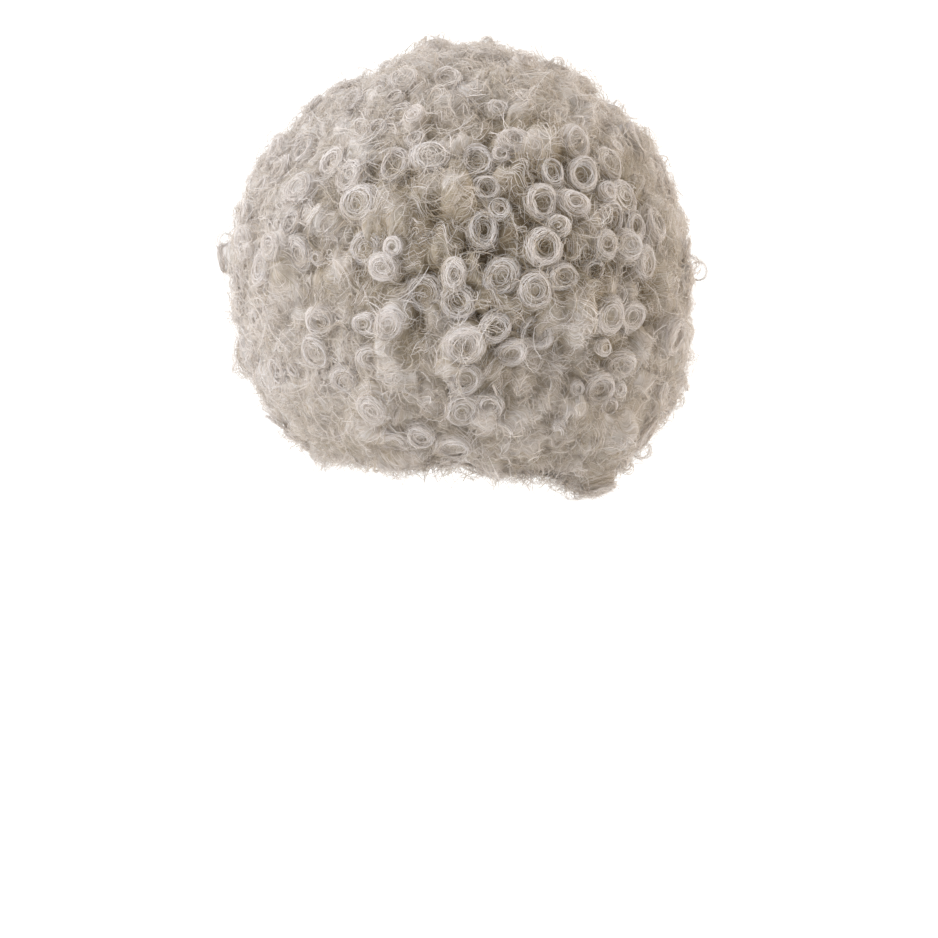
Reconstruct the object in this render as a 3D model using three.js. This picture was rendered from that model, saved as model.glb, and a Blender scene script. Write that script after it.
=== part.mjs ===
// Granny wig: a full, round head of silver-grey ringlets, sewn in rows to a stretch cap.
// Millimetres, +Z up, with the face opening towards -Y and the left side at +X.
// The origin is where the crown of the head meets the inside of the cap.
// An azimuth is in degrees round the head, from the face (0) by the left ear (90) to the nape (180).

import * as THREE from "three";

const { degToRad, seededRandom, lerp } = THREE.MathUtils;

// Head that the cap is knitted to fit
const HEAD_HALF_WIDTH = 77;
const HEAD_HALF_LENGTH = 97;
const HEAD_CROWN_HEIGHT = 100; // crown above the widest level of the head

// Cap and its elastic edge
const CAP_WALL = 1.5;
const CAP_SIDES = 36;
const CAP_ROWS = 6;
const BAND_WIDTH = 14;
const BAND_WALL = 1.2;
const BAND_GAP = 0.3; // between the band and the cap

// Where the cap ends: degrees down from the crown, on the left half, which the right half mirrors
const CAP_EDGE = mirrored([
  { azimuth: 0, drop: 64 }, // forehead
  { azimuth: 45, drop: 71 }, // temple
  { azimuth: 75, drop: 104 }, // tab before the ear
  { azimuth: 100, drop: 99 }, // over the ear
  { azimuth: 140, drop: 119 },
  { azimuth: 180, drop: 130 }, // nape
]);

// Outer form of the hair. Reach is its furthest radius and waist the height of that reach.
// The hem is the lowest line of the curls, at its radius and height.
const HAIR_TOP = 96;
const HAIR_FORM = [
  { azimuth: 0, reach: 136, waist: 2, hemRadius: 107, hemHeight: -51 }, // over the forehead
  { azimuth: 40, reach: 145, waist: -8, hemRadius: 108, hemHeight: -69 }, // left temple
  { azimuth: 62, reach: 155, waist: -40, hemRadius: 99, hemHeight: -148 }, // beside the left cheek
  { azimuth: 80, reach: 163, waist: -62, hemRadius: 92, hemHeight: -185 },
  { azimuth: 105, reach: 166, waist: -66, hemRadius: 88, hemHeight: -193 }, // left side
  { azimuth: 145, reach: 165, waist: -70, hemRadius: 87, hemHeight: -202 },
  { azimuth: 180, reach: 164, waist: -70, hemRadius: 86, hemHeight: -205 }, // nape
  { azimuth: 215, reach: 164, waist: -73, hemRadius: 87, hemHeight: -210 },
  { azimuth: 245, reach: 163, waist: -79, hemRadius: 86, hemHeight: -217 }, // right side
  { azimuth: 270, reach: 162, waist: -78, hemRadius: 86, hemHeight: -207 },
  { azimuth: 285, reach: 159, waist: -66, hemRadius: 92, hemHeight: -190 },
  { azimuth: 298, reach: 154, waist: -42, hemRadius: 99, hemHeight: -150 }, // beside the right cheek
  { azimuth: 320, reach: 145, waist: -8, hemRadius: 108, hemHeight: -69 }, // right temple
];
const WAIST_SHARE = 0.55; // share of the outer profile from the crown to the waist
const HEM_SHARE = 0.86; // and to the hem, with the underside after it
const UNDERSIDE_GAP = 5; // hair thickness left at the cap's edge

// Wefts, from the crown down: rows of curls on each, and curls in a row
const WEFTS = [
  { rows: 1, curls: 8 },
  { rows: 1, curls: 14 },
  { rows: 2, curls: 21 },
  { rows: 2, curls: 28 },
  { rows: 2, curls: 28 },
  { rows: 2, curls: 28 },
  { rows: 2, curls: 28 },
  { rows: 2, curls: 28 },
  { rows: 2, curls: 28 },
];
const CROWN_SHARE = 0.035; // share of the outer profile under the crown tuft
const CROWN_SIDES = 12;
const ROOT_LEAN = 1.25; // above 1, hair is sewn higher than where it ends
const ROOT_GAP = 0.9; // between the cap and the hair's roots
const WEFT_GAP = 1.4; // between one weft and the next

// Curls: a ring of hair round a hollow, seen from its end
const CURL_CREST = 3; // ring, proud of the outer form
const CURL_HOLLOW = -4;
const CURL_CREASE = -10; // between curls
const CURL_RING = 0.56; // ring size as a share of its cell
const CURL_UNEVEN = 6; // most that one curl stands proud of another
const CURL_LEAN = 0.16; // most that a ring sits off the middle of its cell, as a share of the cell
const CURL_ZIGZAG = 0.16; // how far two rows of one weft bite into each other, as a share of a row
const HEM_RELIEF = 0.3; // share of the relief kept where the hair is thin at the hem
const RELIEF_FADES_FROM = 0.7;

const HAIR_MATERIAL = { color: 0xb5aa9c, roughness: 0.62, metalness: 0 };
const CAP_MATERIAL = { color: 0x8f867b, roughness: 0.9, metalness: 0 };
const BAND_MATERIAL = { color: 0xa79d90, roughness: 0.85, metalness: 0 };

function mirrored(half) {
  const inner = half.filter((row) => row.azimuth > 0 && row.azimuth < 180);
  const other = inner.map((row) => ({ ...row, azimuth: 360 - row.azimuth }));
  return [...half, ...other.reverse()];
}

// One column of a table at any azimuth, on a smooth curve round the head
function around(table, column, azimuth) {
  const turn = THREE.MathUtils.euclideanModulo(azimuth, 360);
  const count = table.length;
  const rowAt = (i) => {
    const row = table[THREE.MathUtils.euclideanModulo(i, count)];
    return { angle: row.azimuth + 360 * Math.floor(i / count), value: row[column] };
  };
  const index = table.findLastIndex((row) => row.azimuth <= turn);
  const [before, from, to, after] = [-1, 0, 1, 2].map((step) => rowAt(index + step));
  const span = to.angle - from.angle;
  const leaving = ((to.value - before.value) / (to.angle - before.angle)) * span;
  const arriving = ((after.value - from.value) / (after.angle - from.angle)) * span;
  const u = (turn - from.angle) / span;
  const blend = u * u * (3 - 2 * u);
  const ease = u * (1 - u) * (leaving * (1 - u) - arriving * u);
  return lerp(from.value, to.value, blend) + ease;
}

// A point of a vertical half-plane, as (radius, height), placed at its azimuth
function inSpace(azimuth, profilePoint) {
  const angle = degToRad(azimuth);
  const radius = profilePoint.x;
  return new THREE.Vector3(radius * Math.sin(angle), -radius * Math.cos(angle), profilePoint.y);
}

// Head form at a share of the way from the crown to the cap's edge
function headProfile(azimuth, share, offset) {
  const angle = degToRad(azimuth);
  const across = Math.hypot(Math.sin(angle) / HEAD_HALF_WIDTH, Math.cos(angle) / HEAD_HALF_LENGTH);
  const drop = degToRad(share * around(CAP_EDGE, "drop", azimuth));
  return new THREE.Vector2(
    (1 / across + offset) * Math.sin(drop),
    (HEAD_CROWN_HEIGHT + offset) * Math.cos(drop) - HEAD_CROWN_HEIGHT,
  );
}

// Outer form of the hair at a share of the way from the crown, over the waist and hem, to the cap's edge
function hairProfile(azimuth, share) {
  const [reach, waist, hemRadius, hemHeight] = ["reach", "waist", "hemRadius", "hemHeight"].map(
    (column) => around(HAIR_FORM, column, azimuth),
  );
  if (share < WAIST_SHARE) {
    const angle = (share / WAIST_SHARE) * (Math.PI / 2);
    return new THREE.Vector2(reach * Math.sin(angle), waist + (HAIR_TOP - waist) * Math.cos(angle));
  }
  if (share < HEM_SHARE) {
    const angle = ((share - WAIST_SHARE) / (HEM_SHARE - WAIST_SHARE)) * (Math.PI / 2);
    return new THREE.Vector2(
      hemRadius + (reach - hemRadius) * Math.cos(angle),
      waist + (hemHeight - waist) * Math.sin(angle),
    );
  }
  const edge = headProfile(azimuth, 1, CAP_WALL + UNDERSIDE_GAP);
  const angle = ((share - HEM_SHARE) / (1 - HEM_SHARE)) * (Math.PI / 2);
  return new THREE.Vector2(
    lerp(hemRadius, edge.x, Math.sin(angle)),
    lerp(hemHeight, edge.y, 1 - Math.cos(angle)),
  );
}

// Tangent of a profile, in millimetres for each whole share
function slope(profile, share) {
  const step = 0.004;
  const from = Math.max(0, share - step);
  const to = Math.min(1, share + step);
  return profile(to).sub(profile(from)).divideScalar(to - from);
}

// A point of the hair's surface, standing proud of the outer form, moved along the profile by a length
function hairPoint(azimuth, share, proud, moved = 0) {
  const profile = (s) => hairProfile(azimuth, s);
  const at = share + moved / slope(profile, share).length();
  const along = slope(profile, at).normalize();
  const outward = new THREE.Vector2(-along.y, along.x);
  return inSpace(azimuth, profile(at).addScaledVector(outward, proud * reliefAt(at)));
}

function reliefAt(share) {
  const fade = THREE.MathUtils.smoothstep(share, RELIEF_FADES_FROM, HEM_SHARE);
  return lerp(1, HEM_RELIEF, fade);
}

// Where hair that ends at a share of the outer form is sewn to the cap
function rootPoint(azimuth, hairShare, moved = 0) {
  const offset = CAP_WALL + ROOT_GAP;
  const share = hairShare ** ROOT_LEAN;
  const profile = (s) => headProfile(azimuth, s, offset);
  const at = share + moved / slope(profile, share).length();
  return inSpace(azimuth, profile(Math.min(at, 1)));
}

// Points and faces of one closed surface
class Skin {
  constructor() {
    this.points = [];
    this.faces = [];
  }

  point(position) {
    this.points.push(...position.toArray());
    return this.points.length / 3 - 1;
  }

  ring(count, pointAt) {
    return Array.from({ length: count }, (_, i) => this.point(pointAt(i)));
  }

  triangle(a, b, c) {
    this.faces.push(a, b, c);
  }

  distance(a, b) {
    const [from, to] = [a, b].map((i) => new THREE.Vector3().fromArray(this.points, 3 * i));
    return from.distanceTo(to);
  }

  // Joins two rings of the same count, across the shorter diagonal of each four points
  strip(upper, lower) {
    upper.forEach((_, i) => {
      const next = (i + 1) % upper.length;
      if (this.distance(upper[i], lower[next]) < this.distance(lower[i], upper[next])) {
        this.triangle(upper[i], lower[i], lower[next]);
        this.triangle(upper[i], lower[next], upper[next]);
      } else {
        this.triangle(upper[i], lower[i], upper[next]);
        this.triangle(upper[next], lower[i], lower[next]);
      }
    });
  }

  fan(centre, ring) {
    ring.forEach((_, i) => this.triangle(centre, ring[i], ring[(i + 1) % ring.length]));
  }

  mesh(name, material) {
    const geometry = new THREE.BufferGeometry();
    geometry.setAttribute("position", new THREE.Float32BufferAttribute(this.points, 3));
    geometry.setIndex(this.faces);
    geometry.computeVertexNormals();
    const made = new THREE.Mesh(geometry, new THREE.MeshStandardMaterial(material));
    made.name = name;
    return made;
  }
}

// Share of the way down the cap where the elastic band begins
function bandShare(azimuth) {
  const length = slope((s) => headProfile(azimuth, s, 0), 0.9).length();
  return 1 - BAND_WIDTH / length;
}

const capAzimuth = (i) => (360 * i) / CAP_SIDES;

// Hollow stretch cap, open at the face and neck
function cap() {
  const skin = new Skin();
  const wall = (offset) => {
    const rings = [];
    for (let row = 1; row <= CAP_ROWS + 1; row += 1) {
      rings.push(
        skin.ring(CAP_SIDES, (i) => {
          const azimuth = capAzimuth(i);
          const share = row > CAP_ROWS ? 1 : (row / CAP_ROWS) * bandShare(azimuth);
          return inSpace(azimuth, headProfile(azimuth, share, offset));
        }),
      );
    }
    return { crown: skin.point(new THREE.Vector3(0, 0, offset)), rings };
  };
  const outside = wall(CAP_WALL);
  const inside = wall(0);
  skin.fan(outside.crown, outside.rings[0]);
  skin.fan(inside.crown, inside.rings[0].toReversed());
  for (let row = 0; row < CAP_ROWS; row += 1) {
    skin.strip(outside.rings[row], outside.rings[row + 1]);
    skin.strip(inside.rings[row + 1], inside.rings[row]);
  }
  skin.strip(outside.rings[CAP_ROWS], inside.rings[CAP_ROWS]);
  return skin.mesh("cap", CAP_MATERIAL);
}

// Elastic tape sewn inside the cap's edge
function edgeBand() {
  const skin = new Skin();
  const ringAt = (shareAt, offset) =>
    skin.ring(CAP_SIDES, (i) => {
      const azimuth = capAzimuth(i);
      return inSpace(azimuth, headProfile(azimuth, shareAt(azimuth), offset));
    });
  const outer = -BAND_GAP;
  const inner = -BAND_GAP - BAND_WALL;
  const upperOuter = ringAt(bandShare, outer);
  const lowerOuter = ringAt(() => 1, outer);
  const lowerInner = ringAt(() => 1, inner);
  const upperInner = ringAt(bandShare, inner);
  skin.strip(upperOuter, lowerOuter);
  skin.strip(lowerOuter, lowerInner);
  skin.strip(lowerInner, upperInner);
  skin.strip(upperInner, upperOuter);
  return skin.mesh("edge_band", BAND_MATERIAL);
}

// Closing curl on the crown
function crownTuft() {
  const skin = new Skin();
  const azimuthAt = (i) => (360 * i) / CROWN_SIDES;
  const back = -WEFT_GAP / 2;
  const centre = skin.point(new THREE.Vector3(0, 0, HAIR_TOP + CURL_HOLLOW));
  const ring = skin.ring(CROWN_SIDES, (i) => hairPoint(azimuthAt(i), CROWN_SHARE * CURL_RING, CURL_CREST));
  const crease = skin.ring(CROWN_SIDES, (i) => hairPoint(azimuthAt(i), CROWN_SHARE, CURL_CREASE, back));
  const root = skin.ring(CROWN_SIDES, (i) => rootPoint(azimuthAt(i), CROWN_SHARE, back));
  const rootCentre = skin.point(new THREE.Vector3(0, 0, CAP_WALL + ROOT_GAP));
  skin.fan(centre, ring);
  skin.strip(ring, crease);
  skin.strip(crease, root);
  skin.fan(rootCentre, root.toReversed());
  return skin.mesh("crown_tuft", HAIR_MATERIAL);
}

// One weft: a root strip along the cap with one or two rows of curls fused to it.
// Each line between rows has two points for a curl: where it meets its neighbour, and its middle.
function weft(name, fromShare, rowShare, { rows, curls }) {
  const skin = new Skin();
  const steps = curls * 2;
  const azimuthAt = (step) => (360 * step) / steps;
  const insetAt = (line) => (WEFT_GAP / 2) * ((line === 0) - (line === rows));
  const lineShare = (line, step) => {
    const between = line > 0 && line < rows;
    const zigzag = between ? CURL_ZIGZAG * (step % 2 === 0 ? -1 : 1) : 0;
    return fromShare + (line + zigzag) * rowShare;
  };

  const creases = [];
  const roots = [];
  for (let line = 0; line <= rows; line += 1) {
    const inset = insetAt(line);
    creases.push(
      skin.ring(steps, (step) => hairPoint(azimuthAt(step), lineShare(line, step), CURL_CREASE, inset)),
    );
    roots.push(
      skin.ring(steps, (step) => rootPoint(azimuthAt(step), fromShare + line * rowShare, inset)),
    );
  }

  for (let row = 0; row < rows; row += 1) {
    for (let curl = 0; curl < curls; curl += 1) {
      const first = 2 * curl + row;
      const corners = [
        [row, first],
        [row + 1, first],
        [row + 1, first + 1],
        [row + 1, first + 2],
        [row, first + 2],
        [row, first + 1],
      ];
      const uneven = CURL_UNEVEN * (seededRandom() - 0.5);
      const middleAzimuth = azimuthAt(first + 1 + 2 * CURL_LEAN * (seededRandom() - 0.5));
      const middleShare = fromShare + (row + 0.5 + CURL_LEAN * (seededRandom() - 0.5)) * rowShare;
      const centre = skin.point(hairPoint(middleAzimuth, middleShare, CURL_HOLLOW + uneven));
      const crest = corners.map(([line, step]) => {
        const azimuth = lerp(middleAzimuth, azimuthAt(step), CURL_RING);
        const share = lerp(middleShare, lineShare(line, step), CURL_RING);
        return skin.point(hairPoint(azimuth, share, CURL_CREST + uneven));
      });
      const crease = corners.map(([line, step]) => creases[line][step % steps]);
      skin.fan(centre, crest);
      skin.strip(crest, crease);
    }
  }
  skin.strip(roots[0], creases[0]);
  skin.strip(creases[rows], roots[rows]);
  for (let line = 0; line < rows; line += 1) skin.strip(roots[line + 1], roots[line]);
  return skin.mesh(name, HAIR_MATERIAL);
}

function wig() {
  seededRandom(7);
  const group = new THREE.Group();
  group.add(cap(), edgeBand(), crownTuft());
  const allRows = WEFTS.reduce((sum, { rows }) => sum + rows, 0);
  const rowShare = (1 - CROWN_SHARE) / allRows;
  let share = CROWN_SHARE;
  WEFTS.forEach((row, index) => {
    group.add(weft(`weft_${index + 1}`, share, rowShare, row));
    share += row.rows * rowShare;
  });
  return group;
}

export default wig();
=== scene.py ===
import math

import bpy
import numpy as np
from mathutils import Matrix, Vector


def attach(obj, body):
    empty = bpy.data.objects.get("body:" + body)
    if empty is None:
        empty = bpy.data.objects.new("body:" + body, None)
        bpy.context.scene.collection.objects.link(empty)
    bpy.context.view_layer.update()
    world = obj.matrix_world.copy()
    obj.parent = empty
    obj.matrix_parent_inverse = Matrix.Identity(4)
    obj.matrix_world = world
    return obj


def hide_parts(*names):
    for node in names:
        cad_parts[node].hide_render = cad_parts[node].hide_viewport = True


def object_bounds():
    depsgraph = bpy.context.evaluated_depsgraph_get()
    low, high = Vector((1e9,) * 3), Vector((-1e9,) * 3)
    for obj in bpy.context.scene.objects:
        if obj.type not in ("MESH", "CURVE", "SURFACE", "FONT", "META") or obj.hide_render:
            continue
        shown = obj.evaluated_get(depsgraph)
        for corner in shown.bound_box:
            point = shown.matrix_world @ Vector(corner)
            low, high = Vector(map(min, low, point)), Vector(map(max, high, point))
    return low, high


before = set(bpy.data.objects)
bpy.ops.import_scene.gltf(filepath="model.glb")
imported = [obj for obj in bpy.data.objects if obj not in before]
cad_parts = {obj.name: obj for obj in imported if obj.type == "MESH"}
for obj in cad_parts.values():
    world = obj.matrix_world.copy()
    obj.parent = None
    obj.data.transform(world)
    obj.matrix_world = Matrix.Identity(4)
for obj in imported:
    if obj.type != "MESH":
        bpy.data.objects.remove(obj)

cad_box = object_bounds()


# The cap is a stretch net of thin nylon thread, knitted to the head and hidden under the hair.
# It is seen only from below and in front, crossed by the rows of machine stitches that hold the
# wefts.

MM = 0.001
NET_COLOURS = {"thread": "A2978A", "opening": "6F655A"}
NET_PITCH_MM = 3.2
NET_RELIEF_MM = 0.4
STITCH_COLOUR = "C4BAAD"
STITCH_ROW_MM = 13.0
STITCH_HALF_WIDTH_MM = (0.8, 1.8)
CROWN_TO_WIDEST_MM = 100


def linear(hex_colour):
    """An sRGB hex colour as linear red, green, blue and alpha."""
    parts = [int(hex_colour[i : i + 2], 16) / 255 for i in (0, 2, 4)]
    return [c / 12.92 if c <= 0.04045 else ((c + 0.055) / 1.055) ** 2.4 for c in parts] + [1.0]


def add_node(material, kind, inputs=None, stops=None, **settings):
    """Adds a node. An input is a value or a node's output, and stops are a ramp's (place, colour)."""
    made = material.node_tree.nodes.new(kind)
    for name, value in settings.items():
        setattr(made, name, value)
    for name, value in (inputs or {}).items():
        if isinstance(value, bpy.types.NodeSocket):
            material.node_tree.links.new(value, made.inputs[name])
        else:
            made.inputs[name].default_value = value
    for i, (place, colour) in enumerate(stops or []):
        ramp = made.color_ramp.elements
        stop = ramp[i] if i < 2 else ramp.new(place)
        stop.position = place
        stop.color = linear(colour)
    return made


def new_material(name):
    """A material with an empty node tree."""
    material = bpy.data.materials.new(name)
    material.use_nodes = True
    material.node_tree.nodes.clear()
    return material


# Knitted nylon net: matt thread round small openings, painted dark as the shade seen through them,
# under pale rows of stitches.
# The net and the rows follow the angle round the head and the angle down from the crown.
cap_net = new_material("knitted_nylon_net")
place = add_node(cap_net, "ShaderNodeTexCoord")
from_middle = add_node(
    cap_net,
    "ShaderNodeVectorMath",
    {0: place.outputs["Object"], 1: (0.0, 0.0, CROWN_TO_WIDEST_MM * MM)},
    operation="ADD",
)
parts = add_node(cap_net, "ShaderNodeSeparateXYZ", {"Vector": from_middle.outputs["Vector"]})
level = add_node(
    cap_net,
    "ShaderNodeVectorMath",
    {0: from_middle.outputs["Vector"], 1: (1.0, 1.0, 0.0)},
    operation="MULTIPLY",
)
radius = add_node(
    cap_net, "ShaderNodeVectorMath", {0: level.outputs["Vector"]}, operation="LENGTH"
)
drop = add_node(
    cap_net,
    "ShaderNodeMath",
    {0: radius.outputs["Value"], 1: parts.outputs["Z"]},
    operation="ARCTAN2",
)
turn = add_node(
    cap_net,
    "ShaderNodeMath",
    {0: parts.outputs["X"], 1: parts.outputs["Y"]},
    operation="ARCTAN2",
)
knit_place = add_node(
    cap_net, "ShaderNodeCombineXYZ", {"X": turn.outputs["Value"], "Y": drop.outputs["Value"]}
)
knit_turned = add_node(
    cap_net,
    "ShaderNodeMapping",
    {"Vector": knit_place.outputs["Vector"], "Rotation": (0.0, 0.0, math.pi / 4)},
)
knit = add_node(
    cap_net,
    "ShaderNodeTexVoronoi",
    {
        "Vector": knit_turned.outputs["Vector"],
        "Scale": CROWN_TO_WIDEST_MM / NET_PITCH_MM,
        "Randomness": 0.2,
    },
    feature="DISTANCE_TO_EDGE",
    voronoi_dimensions="2D",
)
# The openings take the darker colour: painted shade.
net_and_shade_colour = add_node(
    cap_net,
    "ShaderNodeValToRGB",
    {"Fac": knit.outputs["Distance"]},
    [(0.1, NET_COLOURS["thread"]), (0.28, NET_COLOURS["opening"])],
)
rows = add_node(
    cap_net,
    "ShaderNodeMath",
    {0: drop.outputs["Value"], 1: STITCH_ROW_MM / CROWN_TO_WIDEST_MM / 2},
    operation="PINGPONG",
)
stitched = add_node(
    cap_net,
    "ShaderNodeMapRange",
    {
        "Value": rows.outputs["Value"],
        "From Min": STITCH_HALF_WIDTH_MM[0] / CROWN_TO_WIDEST_MM,
        "From Max": STITCH_HALF_WIDTH_MM[1] / CROWN_TO_WIDEST_MM,
        "To Min": 1.0,
        "To Max": 0.0,
    },
)
cap_colour = add_node(
    cap_net,
    "ShaderNodeMix",
    {0: stitched.outputs["Result"], 6: net_and_shade_colour.outputs["Color"], 7: linear(STITCH_COLOUR)},
    data_type="RGBA",
)
net_bump = add_node(
    cap_net,
    "ShaderNodeBump",
    {"Height": knit.outputs["Distance"], "Strength": 0.6, "Distance": NET_RELIEF_MM * MM},
    invert=True,
)
net_shader = add_node(
    cap_net,
    "ShaderNodeBsdfPrincipled",
    {
        "Base Color": cap_colour.outputs[2],
        "Roughness": 0.85,
        "Normal": net_bump.outputs["Normal"],
    },
)
add_node(cap_net, "ShaderNodeOutputMaterial", {"Surface": net_shader.outputs["BSDF"]})
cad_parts["cap"].data.materials.clear()
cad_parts["cap"].data.materials.append(cap_net)


# The edge band is a woven elastic tape sewn inside the cap's edge, which grips the head.
# Its ribs run along the tape, over rubber threads. Real ribs are finer, about 1 mm.

ELASTIC_COLOURS = {"painted_groove_shade": "9A8E80", "rib": "B8AD9F"}
ELASTIC_RIB_MM = 3.16
ELASTIC_RELIEF_MM = 0.3
WAVE_PHASE = 20  # radians that a wave texture runs through in one unit

# Woven elastic tape: dull, with soft even ribs, and painted shade that darkens the grooves between
# them.
elastic = new_material("woven_elastic_tape")
place = add_node(elastic, "ShaderNodeTexCoord")
ribs = add_node(
    elastic,
    "ShaderNodeTexWave",
    {
        "Vector": place.outputs["Object"],
        "Scale": 2 * math.pi / (WAVE_PHASE * ELASTIC_RIB_MM * MM),
        "Distortion": 0.6,
        "Detail": 1.0,
    },
    bands_direction="Z",
)
# The grooves between the ribs take the darker colour: painted shade.
rib_and_shade_colour = add_node(
    elastic,
    "ShaderNodeValToRGB",
    {"Fac": ribs.outputs["Fac"]},
    [(0.2, ELASTIC_COLOURS["painted_groove_shade"]), (0.8, ELASTIC_COLOURS["rib"])],
)
rib_bump = add_node(
    elastic,
    "ShaderNodeBump",
    {"Height": ribs.outputs["Fac"], "Strength": 0.5, "Distance": ELASTIC_RELIEF_MM * MM},
)
elastic_shader = add_node(
    elastic,
    "ShaderNodeBsdfPrincipled",
    {
        "Base Color": rib_and_shade_colour.outputs["Color"],
        "Roughness": 0.8,
        "Normal": rib_bump.outputs["Normal"],
    },
)
add_node(elastic, "ShaderNodeOutputMaterial", {"Surface": elastic_shader.outputs["BSDF"]})
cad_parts["edge_band"].data.materials.clear()
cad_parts["edge_band"].data.materials.append(elastic)


# The hair is crimped and set modacrylic fibre, silver-grey, sewn to the cap in wefts. Its colour
# holds painted shade, darker and warmer deeper in the hair. Each weft is a bed of packed hair with
# ringlets standing on it, seen end-on as nests of rings, and loose frizz between and over them.

# A place on the hair is an azimuth, in degrees from the front towards the left, and a share of
# the way from the crown (0), over the waist and the hem, to the cap's edge (1).
HEAD_MM = {"half_width": 77, "half_length": 97, "crown_height": 100}
ROOT_OFFSET_MM = 2.8
CAP_EDGE = np.array(
    [(0, 64), (45, 71), (75, 104), (100, 99), (140, 119), (180, 130)]
    + [(220, 119), (260, 99), (285, 104), (315, 71)],
    dtype=[("azimuth", float), ("drop", float)],
)
HAIR_TOP_MM = 96
HAIR_FORM = np.array(
    [
        (0, 136, 2, 107, -51),
        (40, 145, -8, 108, -69),
        (62, 155, -40, 99, -148),
        (80, 163, -62, 92, -185),
        (105, 166, -66, 88, -193),
        (145, 165, -70, 87, -202),
        (180, 164, -70, 86, -205),
        (215, 164, -73, 87, -210),
        (245, 163, -79, 86, -217),
        (270, 162, -78, 86, -207),
        (285, 159, -66, 92, -190),
        (298, 154, -42, 99, -150),
        (320, 145, -8, 108, -69),
    ],
    dtype=[
        ("azimuth", float),
        ("reach", float),
        ("waist", float),
        ("hem_radius", float),
        ("hem_height", float),
    ],
)
WAIST_SHARE = 0.55
HEM_SHARE = 0.86
EDGE_OFFSET_MM = 6.5
ROOT_LEAN = 1.25
CROWN_SHARE = 0.035
WEFT_ROWS = (1, 1, 2, 2, 2, 2, 2, 2, 2)
SLOPE_STEP = {"azimuth": 1.0, "share": 0.004}
SLOPE_SHARES = (0.001, 0.999)

weft_ends = CROWN_SHARE + (1 - CROWN_SHARE) * np.cumsum((0,) + WEFT_ROWS) / sum(WEFT_ROWS)
rng = np.random.default_rng(11)


def around(table, column, azimuth):
    """One column of a table at each azimuth, on a smooth curve round the head."""
    angles, values = table["azimuth"], table[column]
    angles = np.concatenate([angles[-2:] - 360, angles, angles[:2] + 360])
    values = np.concatenate([values[-2:], values, values[:2]])
    turn = np.mod(azimuth, 360)
    i = np.searchsorted(angles, turn, side="right") - 1
    span = angles[i + 1] - angles[i]
    leaving = (values[i + 1] - values[i - 1]) / (angles[i + 1] - angles[i - 1]) * span
    arriving = (values[i + 2] - values[i]) / (angles[i + 2] - angles[i]) * span
    u = (turn - angles[i]) / span
    blend = u * u * (3 - 2 * u)
    ease = u * (1 - u) * (leaving * (1 - u) - arriving * u)
    return values[i] + (values[i + 1] - values[i]) * blend + ease


def in_space(azimuth, radius, height):
    """Points in metres from an azimuth in degrees and a radius and height in millimetres."""
    angle = np.radians(azimuth)
    return MM * np.stack([radius * np.sin(angle), -radius * np.cos(angle), height], axis=-1)


def root_point(azimuth, share, offset=ROOT_OFFSET_MM):
    """Where hair that ends at a share of the outer form is sewn to the cap."""
    angle = np.radians(azimuth)
    wide, long = HEAD_MM["half_width"], HEAD_MM["half_length"]
    across = np.hypot(np.sin(angle) / wide, np.cos(angle) / long)
    drop = np.radians(share**ROOT_LEAN * around(CAP_EDGE, "drop", azimuth))
    crown = HEAD_MM["crown_height"]
    return in_space(
        azimuth, (1 / across + offset) * np.sin(drop), (crown + offset) * np.cos(drop) - crown
    )


def form_point(azimuth, share):
    """The outer form of the hair, from the crown over the waist and hem to the cap's edge."""
    azimuth, share = np.broadcast_arrays(np.asarray(azimuth, float), np.asarray(share, float))
    reach, waist, hem_radius, hem_height = (
        around(HAIR_FORM, column, azimuth) for column in HAIR_FORM.dtype.names[1:]
    )
    edge = root_point(azimuth, np.ones_like(share), EDGE_OFFSET_MM) / MM
    upper = np.clip(share / WAIST_SHARE, 0, 1) * np.pi / 2
    lower = np.clip((share - WAIST_SHARE) / (HEM_SHARE - WAIST_SHARE), 0, 1) * np.pi / 2
    under = np.clip((share - HEM_SHARE) / (1 - HEM_SHARE), 0, 1) * np.pi / 2
    radius = np.where(
        share < WAIST_SHARE,
        reach * np.sin(upper),
        hem_radius + (reach - hem_radius) * np.cos(lower),
    )
    height = np.where(
        share < WAIST_SHARE,
        waist + (HAIR_TOP_MM - waist) * np.cos(upper),
        waist + (hem_height - waist) * np.sin(lower),
    )
    edge_radius = np.hypot(edge[..., 0], edge[..., 1])
    radius = np.where(
        share > HEM_SHARE, hem_radius + (edge_radius - hem_radius) * np.sin(under), radius
    )
    height = np.where(
        share > HEM_SHARE, hem_height + (edge[..., 2] - hem_height) * (1 - np.cos(under)), height
    )
    return in_space(azimuth, radius, height)


def unit(vectors):
    """Vectors at a length of 1."""
    return vectors / np.maximum(np.linalg.norm(vectors, axis=-1, keepdims=True), 1e-12)


def form_normal(azimuth, share):
    """The outward normal of the outer form, and the form's area for one degree and one share."""
    turn, step = SLOPE_STEP["azimuth"], SLOPE_STEP["share"]
    low = np.maximum(share - step, SLOPE_SHARES[0])
    high = np.minimum(share + step, SLOPE_SHARES[1])
    along = (form_point(azimuth, high) - form_point(azimuth, low)) / (high - low)[..., None]
    across = (form_point(azimuth + turn, share) - form_point(azimuth - turn, share)) / (2 * turn)
    normal = np.cross(along, across)
    return unit(normal), np.linalg.norm(normal, axis=-1)


def weft_of(share):
    """Which weft a share of the outer form belongs to, with the crown tuft as 0."""
    return np.searchsorted(weft_ends, share, side="right")


def scatter(count, low_share=0.0, high_share=1.0):
    """Places spread evenly over the area of the outer form, as azimuths and shares."""
    tries = count * 4
    azimuth = rng.uniform(0, 360, tries)
    share = rng.uniform(low_share, high_share, tries)
    area = form_normal(azimuth, share)[1]
    keep = rng.uniform(0, area.max(), tries) < area
    return azimuth[keep][:count], share[keep][:count]


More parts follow.
